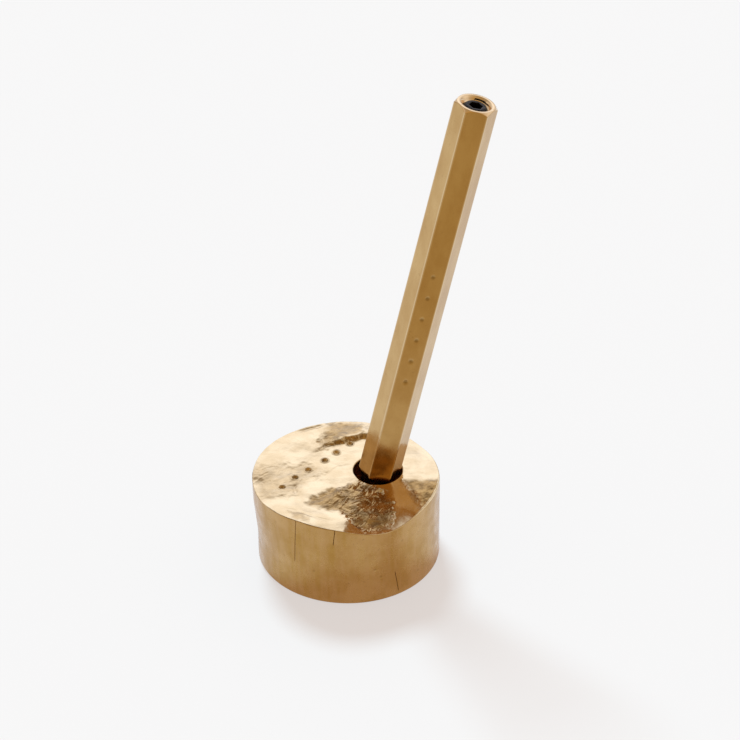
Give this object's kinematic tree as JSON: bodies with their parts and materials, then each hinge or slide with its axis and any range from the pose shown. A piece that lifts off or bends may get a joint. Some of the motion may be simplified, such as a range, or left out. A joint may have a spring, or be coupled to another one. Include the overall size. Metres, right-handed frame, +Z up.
{
  "type": "desk pen with stand",
  "caption": "Ballpoint pen turned from hexagonal brass bar, standing point down and leaning in the drilled socket of a round brass block with a rough, rock-like top.",
  "frame": {"origin": "centre of the stand's underside, on the desk", "axes": "+Z up; the pen leans towards +X in the XZ plane; +Y towards the back"},
  "size_m": [0.0521, 0.041, 0.1104],
  "materials": {
    "block_brass": "raw brass: satin turned side, rough hand-worked top",
    "pen_brass": "raw brass bar, hand-polished satin with a light patina",
    "black_steel": "black oxide",
    "cork": "fine raw cork",
    "clear_plastic": "translucent",
    "nickel_silver": "turned",
    "ball_steel": "polished carbide",
    "ink": "black paste ink",
    "grease": "clear amber",
    "dark_plastic": "moulded",
    "spring_steel": "drawn wire"
  },
  "bodies": {
    "stand": {"stand_block": "block_brass", "stand_pad": "cork"},
    "pen": {"barrel": "pen_brass", "refill_spring": "spring_steel"},
    "refill": {"refill_tube": "clear_plastic", "refill_point": "nickel_silver", "refill_ink": "ink", "refill_grease": "grease", "refill_plug": "dark_plastic"},
    "screw": {"set_screw": "black_steel"},
    "ball": {"refill_ball": "ball_steel"}
  },
  "joints": [
    {"name": "pen_lift", "type": "slide", "parent": "stand", "child": "pen", "axis": [0.2164, 0, 0.9763], "range_m": [0, 0.025]},
    {"name": "refill_slide", "type": "slide", "parent": "pen", "child": "refill", "axis": [0.2164, 0, 0.9763], "range_m": [0, 0.0064], "deforming": ["refill_spring"]},
    {"name": "screw_turn", "type": "hinge", "parent": "refill", "child": "screw", "pos_m": [0.02609, 0.0015, 0.10611], "axis": [0.2164, 0, 0.9763], "range_deg": [0, 2880]},
    {"name": "ball_roll", "type": "hinge", "parent": "refill", "child": "ball", "pos_m": [0.00423, 0.0015, 0.0075], "axis": [0, 1, 0], "continuous": true}
  ],
  "couplings": [
    {"joint": "screw_turn", "follows": "refill_slide", "rad_per_m": 7854}
  ]
}
